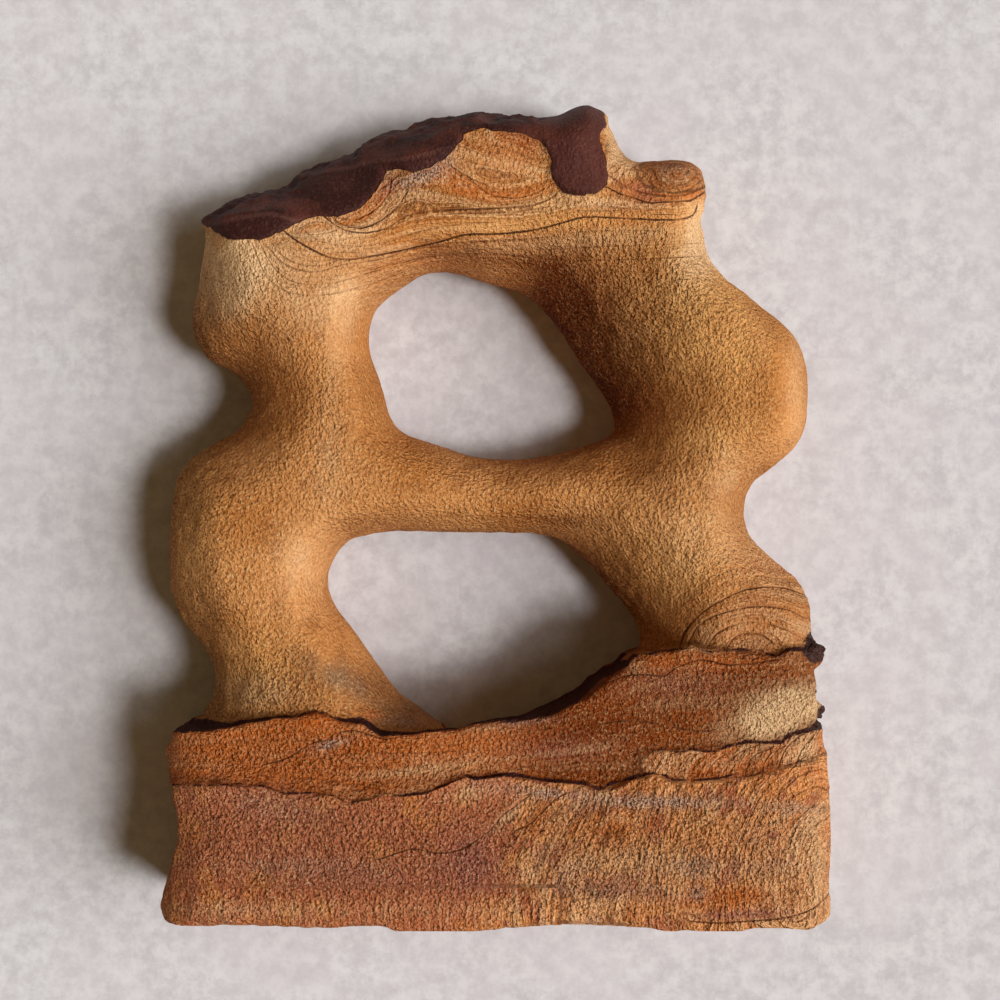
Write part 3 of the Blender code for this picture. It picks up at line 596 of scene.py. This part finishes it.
def stone_fields(points):
    """Everything about the stone's relief and colour that depends on place, for points in millimetres.

    Below the stone's waist, where the picture doesn't reach, the beds dip and wander.
    """
    seen = seen_at(points)
    depth = np.maximum(0, WAIST_HEIGHT - points[:, 2])
    broad = lumps(points, WANDER_SIZE, 1)
    seen = seen + np.column_stack((depth * (DIP_ACROSS + broad), depth * (DIP_DOWN + WANDER_DOWN * broad)))
    jag = sum(reach * lumps(points, size, 2 + seed) for seed, (size, reach) in enumerate(EDGE_JAGS))
    ledge, step, wedge = below(seen, LEDGE), below(seen, STEP), below(seen, WEDGE)
    wedge_starts = step_up(seen[:, 0], *WEDGE_START)
    fields = {"seen": seen, "depth": depth, "foot": ledge, "step": step, "broad": broad}
    fields["wedge"] = np.minimum(wedge, -step) * wedge_starts - OFF_WEDGE * (1 - wedge_starts)
    faces = []
    for gap, face in ((ledge, LEDGE_FACE), (step, STEP_FACE), (wedge, WEDGE_FACE)):
        width = across_value(seen, face) + 0.5 * jag
        faces.append(np.minimum(gap + width, 0.4 + 0.5 * jag - gap))
    faces[2] -= OFF_WEDGE * (1 - wedge_starts)
    fields["flake"] = 6 * (patches(seen, FLAKES) - 0.5) + 0.6 * jag
    fields["iron"] = np.maximum.reduce(faces)
    fields["crust"] = inside_gap(seen, CRUST) - depth * CRUST_END + jag
    ridges = [line_gap(seen, curve(ridge)) for ridge in CRUST_RIDGES[:2]]
    nearest = np.where(np.abs(ridges[0]) < np.abs(ridges[1]), ridges[0], ridges[1])
    fields["ridge"] = np.abs(nearest)
    # The side below each crust ridge, which the material darkens as painted shade
    fields["lens"] = step_up(nearest, -1.5, 1.5) * (1 - step_up(seen[:, 0], *LENS_RIGHT))
    fields["tongue"] = step_up(inside_gap(seen, TONGUE), -6, 4)

    base = step_up(ledge, -2, 3)
    on_crown, on_wedge = seen[:, 1] < CROWN_END, fields["wedge"] > -1
    on_band, on_foot = (ledge > -6) & ~on_wedge & (step <= 0), (step > 0) & ~on_wedge
    beds = sum(
        bed_level(seen, rows, where)
        for rows, where in (
            (CROWN_BEDS, on_crown & ~on_band), (PILLAR_BEDS, ~on_crown & ~on_band & ~on_foot & ~on_wedge),
            (BAND_BEDS, on_band), (FOOT_BEDS, on_foot), (WEDGE_BEDS, on_wedge),
        )
    )
    rings = ring_level(seen, KNOB)
    around_knob = (rings < KNOB_REACH) & (seen[:, 0] > KNOB_LEFT)
    beds = np.where(around_knob, KNOB_BED + KNOB_BEDS * rings + 0.8 * jag, beds)
    beds = np.where(on_foot & (seen[:, 1] > RIM_TOP) & (seen[:, 0] < RIM_RIGHT), seen[:, 0] / RIM_BED, beds)
    fields["beds"] = beds + 0.12 * jag
    fields["right"] = step_up(seen[:, 0], *RIGHT_HALF)
    fields["bed_weight"] = bed_weight(fields, base)
    tone = lumps(np.column_stack((beds * TONE_PACE, seen / TONE_REACH)), 1.0, 5)
    fields["bed_tone"] = tone * fields["bed_weight"] * np.where(on_foot, FOOT_TONE, 1.0)
    fields["cloud"] = sum(share * lumps(points, size, 6 + seed) for seed, (size, share) in enumerate(CLOUDS))
    for name, rows in PATCHES.items():
        ragged = 1 + (RAGGED_DARK if name == "dark" else RAGGED) * fields["cloud"]
        fields[name] = np.clip(patches(seen, rows) * ragged, 0, 1) * (1 - step_up(depth, *PATCH_DEPTH))
    rust_gap = step_up(seen[:, 0], *RUST_GAP_LEFT) * (1 - step_up(seen[:, 0], *RUST_GAP_RIGHT))
    fields["rust"] *= 1 - rust_gap * step_up(seen[:, 1], *RUST_GAP_TOP)
    rough = PLAIN_ROUGH + patches(seen, ROUGH) - patches(seen, SMOOTH)
    fields["rough"] = np.clip(rough, LEAST_ROUGH, MOST_ROUGH)
    return fields


def relax(points, edges, weight, rounds):
    """Moves each point towards the middle of its neighbours, by its own weight."""
    ends = np.concatenate((edges[:, 0], edges[:, 1]))
    others = np.concatenate((edges[:, 1], edges[:, 0]))
    count = np.bincount(ends, minlength=len(points))
    for _ in range(rounds):
        sums = [np.bincount(ends, points[others, axis], len(points)) for axis in range(3)]
        points = points + weight[:, None] * (np.column_stack(sums) / count[:, None] - points)
    return points


def read_points(mesh, name="vertices", value="co"):
    """A mesh's points, or another of its properties with three numbers each."""
    found = getattr(mesh, name)
    numbers = np.empty(len(found) * 3)
    found.foreach_get(value, numbers)
    return numbers.reshape(-1, 3)


def write_points(mesh, points):
    mesh.vertices.foreach_set("co", (points * MM).ravel())
    mesh.update()


def bake(piece):
    """Replaces the piece's mesh with what its modifiers make of it."""
    graph = bpy.context.evaluated_depsgraph_get()
    mesh = bpy.data.meshes.new_from_object(piece.evaluated_get(graph))
    piece.modifiers.clear()
    piece.data = mesh


def rise_of_crust(points, normals, fields):
    """The crust stands proud of the stone with a crisp edge, and has ridges, facets and a chipped rim."""
    within = step_up(fields["crust"], 0, 6)
    rise = CRUST_RISE * step_up(fields["crust"], -CRUST_EDGE, CRUST_EDGE)
    for ridge in CRUST_RIDGES:
        gap = np.abs(line_gap(fields["seen"], curve(ridge)))
        rise += CRUST_RIDGE * within * np.maximum(0, 1 - gap / RIDGE_REACH)
    rim = 1 - step_up(normals[:, 2], *CRUST_RIM)
    chips = 0.5 - np.abs(lumps(points, CHIP_SIZES[0], 8)) - 0.5 * np.abs(lumps(points, CHIP_SIZES[1], 9))
    facets = 0.3 - np.abs(lumps(points, FACET_SIZE, 8))
    return rise + within * (1 - fields["tongue"]) * (CRUST_CHIPS * rim * chips + CRUST_FACETS * facets)


def rise_of_stone(points, fields):
    """Swells, dimples, slanting ripples and laminae."""
    seen = fields["seen"]
    bare = 1 - step_up(fields["crust"], -2, 2)
    rough = fields["rough"] * bare
    rise = patches(seen, SWELLS) * step_up(-fields["depth"], -6, -1)
    for seed, (size, height) in enumerate(DIMPLES):
        rise += height * rough * lumps(points, size, 10 + seed)
    c, s = math.cos(math.radians(RIPPLE_TURN)), math.sin(math.radians(RIPPLE_TURN))
    along = (points[:, 0] * c + points[:, 1] * s) / RIPPLE_LENGTH
    turned = np.column_stack((along, points[:, 1] * c - points[:, 0] * s, points[:, 2]))
    rise += RIPPLE_DEPTH * rough * lumps(turned, RIPPLE_SIZE, 20)
    rise += LAMINA_DEPTH * np.sin(fields["beds"] * LAMINA_PACE) * fields["bed_weight"] * bare
    flake = step_up(fields["flake"], -1, 1)
    return rise + flake * (FLAKE_RISE * np.abs(lumps(points, FLAKE_SIZE, 21)) - FLAKE_SINK)


def lip_lift(fields):
    """How far the lower edge of the upper band comes up towards the step, most of all at its left."""
    lip = step_up(fields["step"], -LIP_WIDTH, 0) * (1 - step_up(fields["step"], 1, 3))
    return LIP_RISE * lip * (1 - 0.6 * step_up(fields["seen"][:, 0], *LIP_LEFT)) * (fields["wedge"] < -3)


def line_grooves(fields, sets):
    """Grooves along the thin lines, each with a low bank on one side."""
    rise = np.zeros(len(fields["seen"]))
    for gap, strength in sets:
        rise -= GROOVE_DEPTH * strength * np.exp(-((gap / GROOVE_WIDTH) ** 2))
        rise += BANK_SHARE * GROOVE_DEPTH * strength * np.exp(-(((gap - BANK_GAP) / BANK_WIDTH) ** 2))
    return rise


def inside_box(points):
    """Points, in millimetres, brought inside the box of the solid."""
    low, high = (np.array(corner) / MM for corner in cad_box)
    return np.clip(points, low + np.array((BOX_MARGIN, BOX_MARGIN, 0)), high - BOX_MARGIN)


def fine_stone():
    """The solid of the frame as a fine mesh with the stone's relief."""
    stone = bpy.data.objects.new("sandstone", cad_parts[NODE].data.copy())
    bpy.context.scene.collection.objects.link(stone)
    modifier = stone.modifiers.new("even mesh", "REMESH")
    modifier.mode = "VOXEL"
    modifier.voxel_size = VOXEL * MM
    bake(stone)
    mesh = stone.data
    points = read_points(mesh) / MM
    edges = np.empty(len(mesh.edges) * 2, int)
    mesh.edges.foreach_get("vertices", edges)
    edges = edges.reshape(-1, 2)
    on_foot = step_up(below(seen_at(points), LEDGE), -12, -4)
    points = relax(points, edges, RELAX_SHARE * (1 - FOOT_KEEPS * on_foot), RELAX_ROUNDS)
    write_points(mesh, points)
    normals = read_points(mesh, "vertex_normals", "vector")
    fields = stone_fields(points)
    sets = [set_fields(fields["seen"], lines) for lines in line_sets()]
    rise = rise_of_stone(points, fields) + line_grooves(fields, sets)
    rise += rise_of_crust(points, normals, fields)
    near_ledge = step_up(-np.abs(fields["foot"]), -10, -2) + step_up(-np.abs(fields["step"]), -8, -2)
    for seed, (size, reach) in enumerate(LEDGE_JAGS):
        points[:, 1] += reach * near_ledge * lumps(points, (size, JAG_DEPTH, JAG_DEPTH), 30 + seed)
    points = points + rise[:, None] * normals
    points[:, 2] += lip_lift(fields)
    points[:, 0] -= TIP_REACH * patches(fields["seen"], CRUST_TIP)
    points = inside_box(points)
    write_points(mesh, points)
    sides = stone.vertex_groups.new(name="sides and back")
    shown = (points[:, 2] > SHOWN_HEIGHT) & (normals[:, 2] > SHOWN_SLOPE)
    sides.add(np.flatnonzero(~shown).tolist(), 1.0, "REPLACE")
    coarser = stone.modifiers.new("coarser", "DECIMATE")
    coarser.ratio = min(1.0, MOST_TRIANGLES / (2 * len(mesh.polygons)))
    coarser.vertex_group = sides.name
    bake(stone)
    stone.vertex_groups.clear()
    write_points(stone.data, inside_box(read_points(stone.data) / MM))
    return stone


def store(mesh, name, values):
    attribute = mesh.attributes.new(name, "FLOAT", "POINT")
    attribute.data.foreach_set("value", values.astype(np.float32))


def store_fields(stone):
    """Writes the fields that the material reads onto the mesh."""
    fields = stone_fields(read_points(stone.data) / MM)
    for index, lines in enumerate(line_sets()):
        gap, strength = set_fields(fields["seen"], lines)
        fields[f"line_gap_{index}"] = gap
        fields[f"line_strength_{index}"] = strength
    for name, values in fields.items():
        if name not in ("seen", "depth"):
            store(stone.data, name, values)


class Nodes:
    """Short ways to make shader nodes in one tree. Each returns the socket that holds its result."""

    def __init__(self, name):
        self.material = bpy.data.materials.new(name)
        self.material.use_nodes = True
        self.tree = self.material.node_tree
        self.shader = self.tree.nodes["Principled BSDF"]
        self.place = self.tree.nodes.new("ShaderNodeTexCoord").outputs["Object"]

    def make(self, kind, inputs=(), **settings):
        node = self.tree.nodes.new(kind)
        for name, value in settings.items():
            setattr(node, name, value)
        for key, value in inputs:
            if isinstance(value, bpy.types.NodeSocket):
                self.tree.links.new(value, node.inputs[key])
            else:
                node.inputs[key].default_value = value
        return node

    def field(self, name):
        return self.make("ShaderNodeAttribute", attribute_name=name).outputs["Fac"]

    def maths(self, operation, *values):
        node = self.make("ShaderNodeMath", enumerate(values), operation=operation)
        return node.outputs[0]

    def rise(self, value, low, high, start=0.0, end=1.0):
        """Start below low and end above high, with a smooth change between."""
        rows = (("Value", value), ("From Min", low), ("From Max", high), ("To Min", start), ("To Max", end))
        return self.make("ShaderNodeMapRange", rows, interpolation_type="SMOOTHSTEP").outputs[0]

    def grain(self, size, detail=2.0, roughness=0.5, stretch=(1, 1, 1), turn=0.0):
        """Noise with lumps of a size in millimetres, stretched along axes turned about Z."""
        scale = tuple(s / (size * MM) for s in stretch)
        rows = [("Vector", self.place), ("Scale", scale), ("Rotation", (0, 0, turn))]
        placed = self.make("ShaderNodeMapping", rows)
        rows = [("Vector", placed.outputs[0]), ("Scale", 1.0), ("Detail", detail), ("Roughness", roughness)]
        return self.make("ShaderNodeTexNoise", rows).outputs["Fac"]

    def strands(self, level, fineness, length):
        """Noise in streaks along the laminae: fine across their levels, and long along them."""
        split = self.make("ShaderNodeSeparateXYZ", [("Vector", self.place)])
        along = self.maths("MULTIPLY", split.outputs["Y"], 1 / (length * MM))
        across = self.maths("MULTIPLY", level, fineness)
        placed = self.make("ShaderNodeCombineXYZ", [("X", across), ("Y", along)])
        rows = [("Vector", placed.outputs[0]), ("Scale", 1.0), ("Detail", 1.5), ("Roughness", 0.6)]
        return self.make("ShaderNodeTexNoise", rows, noise_dimensions="2D").outputs["Fac"]

    def blend(self, share, first, second, mode="MIX"):
        """From the first colour to the second one, by a share from 0 to 1."""
        node = self.make("ShaderNodeMix", data_type="RGBA", blend_type=mode)
        for key, value in (("Factor_Float", share), ("A_Color", first), ("B_Color", second)):
            socket = next(s for s in node.inputs if s.identifier == key)
            if isinstance(value, bpy.types.NodeSocket):
                self.tree.links.new(value, socket)
            else:
                socket.default_value = linear(value) if isinstance(value, str) else value
        return next(s for s in node.outputs if s.identifier == "Result_Color")


def thin_lines(nodes, grit):
    """How dark the thin lines are at a place, from 0 to 1."""
    wobble = nodes.maths("MULTIPLY", nodes.maths("SUBTRACT", grit, 0.5), LINE_WOBBLE)
    total = None
    for index in range(SET_COUNT):
        gap = nodes.maths("ABSOLUTE", nodes.maths("ADD", nodes.field(f"line_gap_{index}"), wobble))
        core = nodes.rise(gap, 0.1, 1.35, 1.0, 0.0)
        dark = nodes.maths("MULTIPLY", core, nodes.field(f"line_strength_{index}"))
        dark = nodes.maths("MULTIPLY", dark, nodes.rise(nodes.field("cloud"), -0.8, 0.5, 0.55, 1.0))
        total = dark if total is None else nodes.maths("MAXIMUM", total, dark)
    return total


def crust_colour(nodes, grit):
    """Dark iron crust: redder on the tongue, with painted shade in the hollow below each ridge and a painted
    highlight on each ridge.
    """
    field, blend, rise, maths = nodes.field, nodes.blend, nodes.rise, nodes.maths
    colour = blend(rise(field("cloud"), -0.5, 0.6), "crust dark", "crust")
    colour = blend(maths("MULTIPLY", field("tongue"), 0.6), colour, "crust")
    # Painted shade in the hollow below each ridge
    colour = blend(maths("MULTIPLY", field("lens"), 0.75), colour, "crust dark")
    # Painted highlight along each ridge
    colour = blend(rise(field("ridge"), 0.3, 3.5, 0.4, 0.0), colour, "crust light")
    return blend(rise(grit, 0.5, 0.8, 0.0, 0.5), colour, "crust light")


def stone_material():
    nodes = Nodes("banded sandstone")
    field, blend, rise, maths = nodes.field, nodes.blend, nodes.rise, nodes.maths
    grit = nodes.grain(GRIT_SIZE, 2.0, 0.65)
    sand = nodes.grain(SAND_SIZE, 1.0, 0.6)
    pebble = nodes.grain(PEBBLE_SIZE, 1.0, 0.5, PEBBLE_STRETCH, PEBBLE_TURN)
    strand = nodes.strands(field("beds"), *STRANDS)
    lamina = nodes.strands(field("beds"), *LAMINAE)
    cloud, weight, step = field("cloud"), field("bed_weight"), field("step")
    edge = maths("MULTIPLY", maths("SUBTRACT", grit, 0.5), 4.0)

    colour = blend(rise(field("broad"), -0.5, 0.5), "tan", "amber")
    colour = blend(rise(cloud, 0.0, 1.0, 0.0, 0.5), colour, "brown")
    lower = blend(rise(maths("ADD", field("right"), cloud), 0.2, 0.8), "foot left", "foot right")
    lower = blend(rise(cloud, -0.2, 0.9, 0.0, 0.7), lower, "foot")
    band = blend(field("right"), blend(rise(cloud, -0.5, 0.8), "band", "foot"), "band right")
    foot = blend(rise(step, -0.5, 0.5), band, lower)
    foot = blend(rise(field("wedge"), -0.5, 1.0), foot, "foot")
    colour = blend(rise(maths("ADD", field("foot"), edge), -1.0, 1.0), colour, foot)

    tone = field("bed_tone")
    colour = blend(rise(tone, 0.0, 0.5, 0.0, 0.4), colour, "pale")
    colour = blend(rise(tone, 0.0, -0.5, 0.0, 0.45), colour, "orange")
    colour = blend(maths("MULTIPLY", weight, rise(strand, 0.52, 0.7, 0.0, 0.32)), colour, "pale")
    colour = blend(maths("MULTIPLY", weight, rise(strand, 0.48, 0.3, 0.0, 0.5)), colour, "brown")
    from_lamina = maths("ABSOLUTE", maths("SUBTRACT", lamina, 0.5))
    colour = blend(maths("MULTIPLY", weight, rise(from_lamina, 0.01, 0.05, 0.7, 0.0)), colour, "line")

    for name, share in PATCH_SHARES.items():
        colour = blend(maths("MULTIPLY", field(name), share), colour, name)
    speckled = field("grey")
    colour = blend(maths("MULTIPLY", speckled, rise(sand, 0.42, 0.58, 0.15, 0.9)), colour, "grey")
    colour = blend(maths("MULTIPLY", speckled, rise(sand, 0.46, 0.34, 0.0, 0.9)), colour, "purple grain")

    rough = field("rough")
    # Painted shade in the hollows of the grain, deeper where the stone is rougher
    shade = maths("MULTIPLY", rise(grit, 0.53, 0.32), rise(rough, 0.3, 1.4, 0.5, 1.0))
    colour = blend(shade, colour, PAINTED_HOLLOW_SHADE, "MULTIPLY")
    colour = blend(rise(grit, 0.52, 0.76, 0.0, 0.35), colour, "cream")
    white = maths("MULTIPLY", rise(sand, 0.64, 0.76), rise(step, -1.0, 2.0, 0.2, 0.6))
    colour = blend(white, colour, "white grain")
    black = maths("MULTIPLY", rise(sand, 0.36, 0.26), rise(rough, 0.4, 1.4, 0.25, 0.7))
    colour = blend(black, colour, "black grain")

    lines = thin_lines(nodes, grit)
    line_colour = blend(rise(lines, 0.45, 0.95), "line", "deep line")
    colour = blend(rise(lines, 0.05, 0.7, 0.0, 0.85), colour, line_colour)
    colour = blend(rise(maths("ADD", field("iron"), edge), -0.6, 0.8), colour, "iron")
    colour = blend(rise(field("flake"), -0.6, 0.8), colour, blend(rise(grit, 0.4, 0.6), "iron", "flake"))
    crust = rise(maths("ADD", field("crust"), maths("MULTIPLY", edge, 0.5)), -0.6, 0.6)
    colour = blend(crust, colour, crust_colour(nodes, grit))
    nodes.tree.links.new(colour, nodes.shader.inputs["Base Color"])

    grains = maths("ADD", grit, maths("MULTIPLY", pebble, 0.7))
    height = maths("MULTIPLY", grains, maths("ADD", rough, 0.2))
    combed = maths("MULTIPLY", weight, rise(step, -1.0, 2.0, 0.3, 0.8))
    combed = maths("MULTIPLY", combed, rise(crust, 0.0, 0.5, 1.0, 0.0))
    height = maths("ADD", height, maths("MULTIPLY", strand, combed))
    height = maths("SUBTRACT", height, maths("MULTIPLY", lines, 0.3))
    height = maths("MULTIPLY", height, rise(crust, 0.0, 1.0, 1.0, 0.3))
    rows = (("Strength", 1.0), ("Distance", GRAIN_DEPTH * MM), ("Height", height))
    bump = nodes.make("ShaderNodeBump", rows)
    nodes.tree.links.new(bump.outputs[0], nodes.shader.inputs["Normal"])
    nodes.tree.links.new(rise(crust, 0.0, 1.0, 0.93, 0.6), nodes.shader.inputs["Roughness"])
    nodes.shader.inputs["Specular IOR Level"].default_value = 0.12
    return nodes.material


def floor_material():
    nodes = Nodes("pale floor")
    mottle = nodes.rise(nodes.grain(6.0, 5.0, 0.75), 0.32, 0.68)
    blotch = nodes.rise(nodes.grain(30.0, 1.0), 0.35, 0.65, 0.0, 0.35)
    colour = nodes.blend(mottle, FLOOR_DARK, FLOOR_LIGHT)
    colour = nodes.blend(blotch, colour, FLOOR_BLOTCH)
    nodes.tree.links.new(colour, nodes.shader.inputs["Base Color"])
    nodes.shader.inputs["Roughness"].default_value = 0.8
    nodes.shader.inputs["Specular IOR Level"].default_value = 0.2
    return nodes.material


def make_floor():
    bpy.ops.mesh.primitive_plane_add(size=FLOOR_SIZE, location=(0, 0, -FLOOR_DROP))
    floor = bpy.context.object
    floor.name = "floor"
    floor.data.materials.append(floor_material())


def make_light():
    """A compact key and a broad soft source, both from the right of the picture, and a dim warm sky."""
    for name, (strength, width, tilt, turn, colour) in (("key", KEY), ("broad source", BROAD)):
        sun = bpy.data.lights.new(name, "SUN")
        sun.energy = strength
        sun.angle = math.radians(width)
        sun.color = colour
        source = bpy.data.objects.new(name, sun)
        bpy.context.scene.collection.objects.link(source)
        source.rotation_euler = (math.radians(tilt), 0, math.radians(turn))
    world = bpy.data.worlds.new("sky")
    bpy.context.scene.world = world
    world.use_nodes = True
    background = world.node_tree.nodes["Background"]
    background.inputs["Color"].default_value = SKY_COLOUR
    background.inputs["Strength"].default_value = SKY_STRENGTH


def make_camera():
    camera = bpy.data.cameras.new("from above")
    camera.lens = LENS
    camera.sensor_width = SENSOR
    camera.clip_start = 0.01
    piece = bpy.data.objects.new("from above", camera)
    piece.location = (CAMERA_X * MM, CAMERA_Y * MM, CAMERA_HEIGHT * MM)
    bpy.context.scene.collection.objects.link(piece)
    bpy.context.scene.camera = piece


def main():
    stone = fine_stone()
    store_fields(stone)
    stone.data.materials.clear()
    stone.data.materials.append(stone_material())
    stone.data.shade_smooth()
    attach(stone, "root")
    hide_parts(NODE)
    make_floor()
    make_light()
    make_camera()
    bpy.context.scene.view_settings.view_transform = "Standard"


main()
